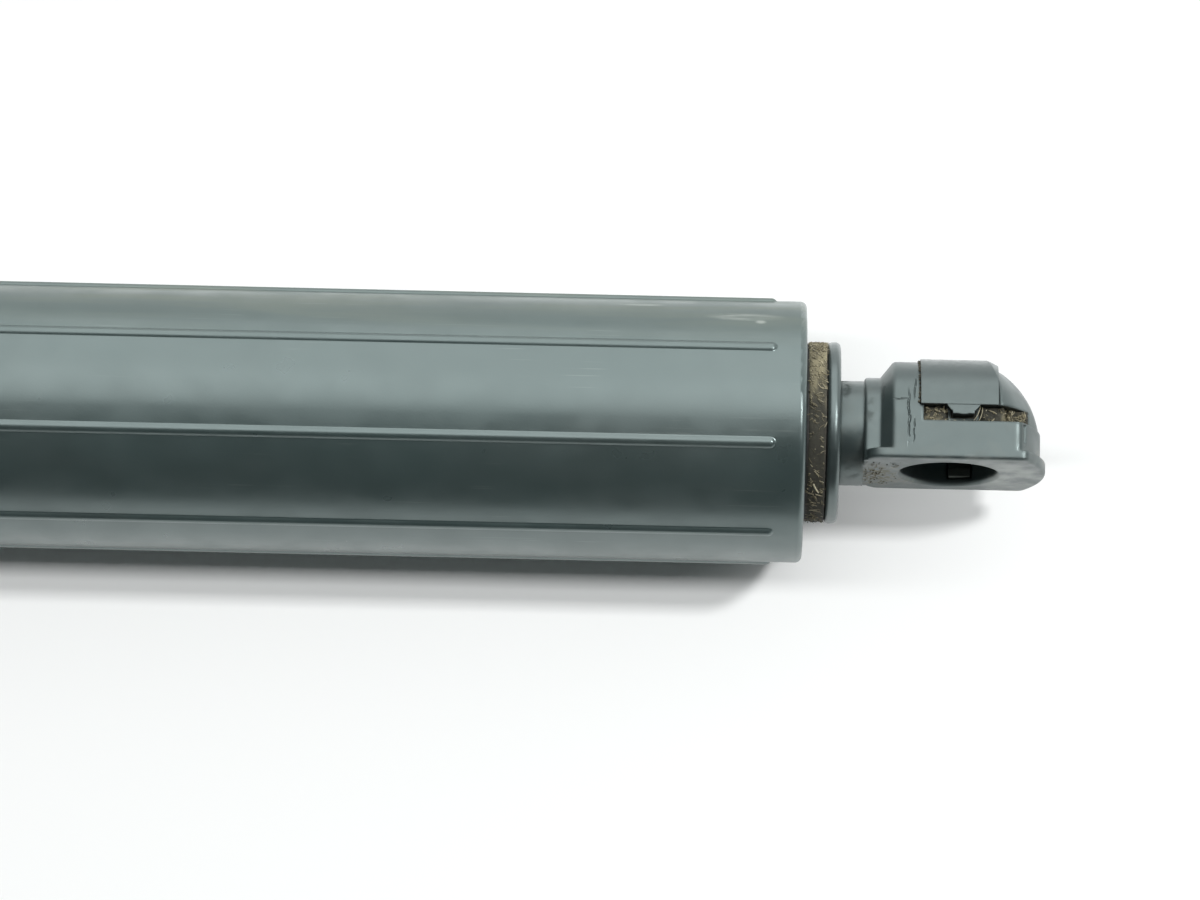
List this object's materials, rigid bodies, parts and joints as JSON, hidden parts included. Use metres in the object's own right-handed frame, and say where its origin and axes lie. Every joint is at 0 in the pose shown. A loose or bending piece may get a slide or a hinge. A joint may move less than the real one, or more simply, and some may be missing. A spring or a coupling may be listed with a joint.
{
  "type": "tailgate power strut",
  "caption": "Telescopic tailgate strut with a ribbed cover tube over a slimmer housing tube, a motor and spindle inside, and a clip-held ball socket on each end.",
  "frame": {"origin": "centre of the ball seat of the base end, which holds the motor", "axes": "+X along the strut to the tip end, -Y out of both socket mouths, +Z across; closed at rest"},
  "size_m": [0.5066, 0.036, 0.036],
  "materials": {
    "cover_plastic": "fine satin, dark grey with a hint of teal",
    "socket_plastic": "moulded, fine matte",
    "clip_steel": "coated spring steel, matte",
    "plug_metal": "coated, matte",
    "seal_rubber": "matte",
    "housing_steel": "satin black",
    "guide_plastic": "smooth",
    "nut_plastic": "smooth",
    "gear_plastic": "smooth",
    "gear_steel": "sintered, satin",
    "turned_steel": "ground",
    "sheet_steel": "zinc plated",
    "hardware_steel": "blackened",
    "spring_steel": "coated, satin",
    "core_steel": "stacked sheets",
    "magnet_ferrite": "fired, matte",
    "copper": "enamelled wire",
    "commutator_copper": "turned",
    "carbon": "pressed, matte",
    "bronze": "sintered",
    "black_plastic": "moulded",
    "board_laminate": "laminate"
  },
  "bodies": {
    "base": {"base_socket": "socket_plastic", "base_end_cap": "plug_metal", "base_seal_ring": "seal_rubber", "housing_tube": "housing_steel", "housing_guide_ring": "guide_plastic", "cable_grommet": "seal_rubber", "hall_board": "board_laminate", "rear_damper_ring": "seal_rubber", "motor_end_bell": "black_plastic", "motor_can": "sheet_steel", "motor_bushes": "bronze", "motor_magnets": "magnet_ferrite", "motor_brushes": "carbon", "motor_plate": "turned_steel", "motor_screws": "hardware_steel", "ring_gear": "gear_plastic", "gearbox_cover": "gear_plastic", "output_bush": "bronze", "front_damper_ring": "seal_rubber", "bearing_holder": "sheet_steel", "bearing_outer_race": "turned_steel", "bearing_snap_ring": "hardware_steel", "guide_tube": "sheet_steel", "guide_tube_bush": "guide_plastic", "base_spring_seat": "guide_plastic", "coil_spring": "spring_steel"},
    "tip": {"tip_socket": "socket_plastic", "tip_end_plug": "plug_metal", "tip_seal_ring": "seal_rubber", "cover_tube": "cover_plastic", "wiper_seal": "seal_rubber", "push_tube": "sheet_steel", "spindle_nut": "nut_plastic", "tip_spring_seat": "guide_plastic"},
    "spindle": {"second_carrier": "gear_steel", "second_planet_pins": "turned_steel", "spindle": "turned_steel", "bearing_inner_race": "turned_steel", "spindle_circlip": "hardware_steel", "spindle_end_guide": "guide_plastic", "spindle_end_screw": "hardware_steel"},
    "rotor": {"motor_shaft": "turned_steel", "rotor_core": "core_steel", "rotor_windings": "copper", "commutator_hub": "black_plastic", "commutator_segments": "commutator_copper", "hall_magnet": "magnet_ferrite", "first_sun_gear": "gear_steel"},
    "first_carrier": {"first_carrier": "gear_plastic", "first_planet_pins": "turned_steel"},
    "first_planet_1": {"first_planet_gear_1": "gear_plastic"},
    "first_planet_2": {"first_planet_gear_2": "gear_plastic"},
    "first_planet_3": {"first_planet_gear_3": "gear_plastic"},
    "second_planet_1": {"second_planet_gear_1": "gear_steel"},
    "second_planet_2": {"second_planet_gear_2": "gear_steel"},
    "second_planet_3": {"second_planet_gear_3": "gear_steel"},
    "bearing_cage": {"bearing_balls": "turned_steel", "bearing_cage": "guide_plastic"},
    "base_clip": {"base_clip": "clip_steel"},
    "tip_clip": {"tip_clip": "clip_steel"}
  },
  "joints": [
    {"name": "extend", "type": "slide", "parent": "base", "child": "tip", "axis": [1, 0, 0], "range_m": [0, 0.23], "deforming": ["coil_spring"]},
    {"name": "spindle_spin", "type": "hinge", "parent": "base", "child": "spindle", "pos_m": [0, 0, 0], "axis": [1, 0, 0], "continuous": true},
    {"name": "carrier_spin", "type": "hinge", "parent": "base", "child": "first_carrier", "pos_m": [0, 0, 0], "axis": [1, 0, 0], "continuous": true},
    {"name": "rotor_spin", "type": "hinge", "parent": "base", "child": "rotor", "pos_m": [0, 0, 0], "axis": [1, 0, 0], "continuous": true},
    {"name": "first_planet_1_spin", "type": "hinge", "parent": "first_carrier", "child": "first_planet_1", "pos_m": [0, 0.0075, 0], "axis": [1, 0, 0], "continuous": true},
    {"name": "first_planet_2_spin", "type": "hinge", "parent": "first_carrier", "child": "first_planet_2", "pos_m": [0, -0.00375, 0.0065], "axis": [1, 0, 0], "continuous": true},
    {"name": "first_planet_3_spin", "type": "hinge", "parent": "first_carrier", "child": "first_planet_3", "pos_m": [0, -0.00375, -0.0065], "axis": [1, 0, 0], "continuous": true},
    {"name": "second_planet_1_spin", "type": "hinge", "parent": "spindle", "child": "second_planet_1", "pos_m": [0, 0.0075, 0], "axis": [1, 0, 0], "continuous": true},
    {"name": "second_planet_2_spin", "type": "hinge", "parent": "spindle", "child": "second_planet_2", "pos_m": [0, -0.00375, 0.0065], "axis": [1, 0, 0], "continuous": true},
    {"name": "second_planet_3_spin", "type": "hinge", "parent": "spindle", "child": "second_planet_3", "pos_m": [0, -0.00375, -0.0065], "axis": [1, 0, 0], "continuous": true},
    {"name": "bearing_cage_spin", "type": "hinge", "parent": "base", "child": "bearing_cage", "pos_m": [0, 0, 0], "axis": [1, 0, 0], "continuous": true},
    {"name": "base_clip_release", "type": "slide", "parent": "base", "child": "base_clip", "axis": [0, 1, 0], "range_m": [0, 0.003]},
    {"name": "tip_clip_release", "type": "slide", "parent": "tip", "child": "tip_clip", "axis": [0, 1, 0], "range_m": [0, 0.003]}
  ],
  "couplings": [
    {"joint": "spindle_spin", "follows": "extend", "rad_per_m": -392.7},
    {"joint": "carrier_spin", "follows": "extend", "rad_per_m": -1963.5},
    {"joint": "rotor_spin", "follows": "extend", "rad_per_m": -9817.5},
    {"joint": "first_planet_1_spin", "follows": "extend", "rad_per_m": 5236},
    {"joint": "first_planet_2_spin", "follows": "extend", "rad_per_m": 5236},
    {"joint": "first_planet_3_spin", "follows": "extend", "rad_per_m": 5236},
    {"joint": "second_planet_1_spin", "follows": "extend", "rad_per_m": 1047.2},
    {"joint": "second_planet_2_spin", "follows": "extend", "rad_per_m": 1047.2},
    {"joint": "second_planet_3_spin", "follows": "extend", "rad_per_m": 1047.2},
    {"joint": "bearing_cage_spin", "follows": "extend", "rad_per_m": -144.51}
  ]
}
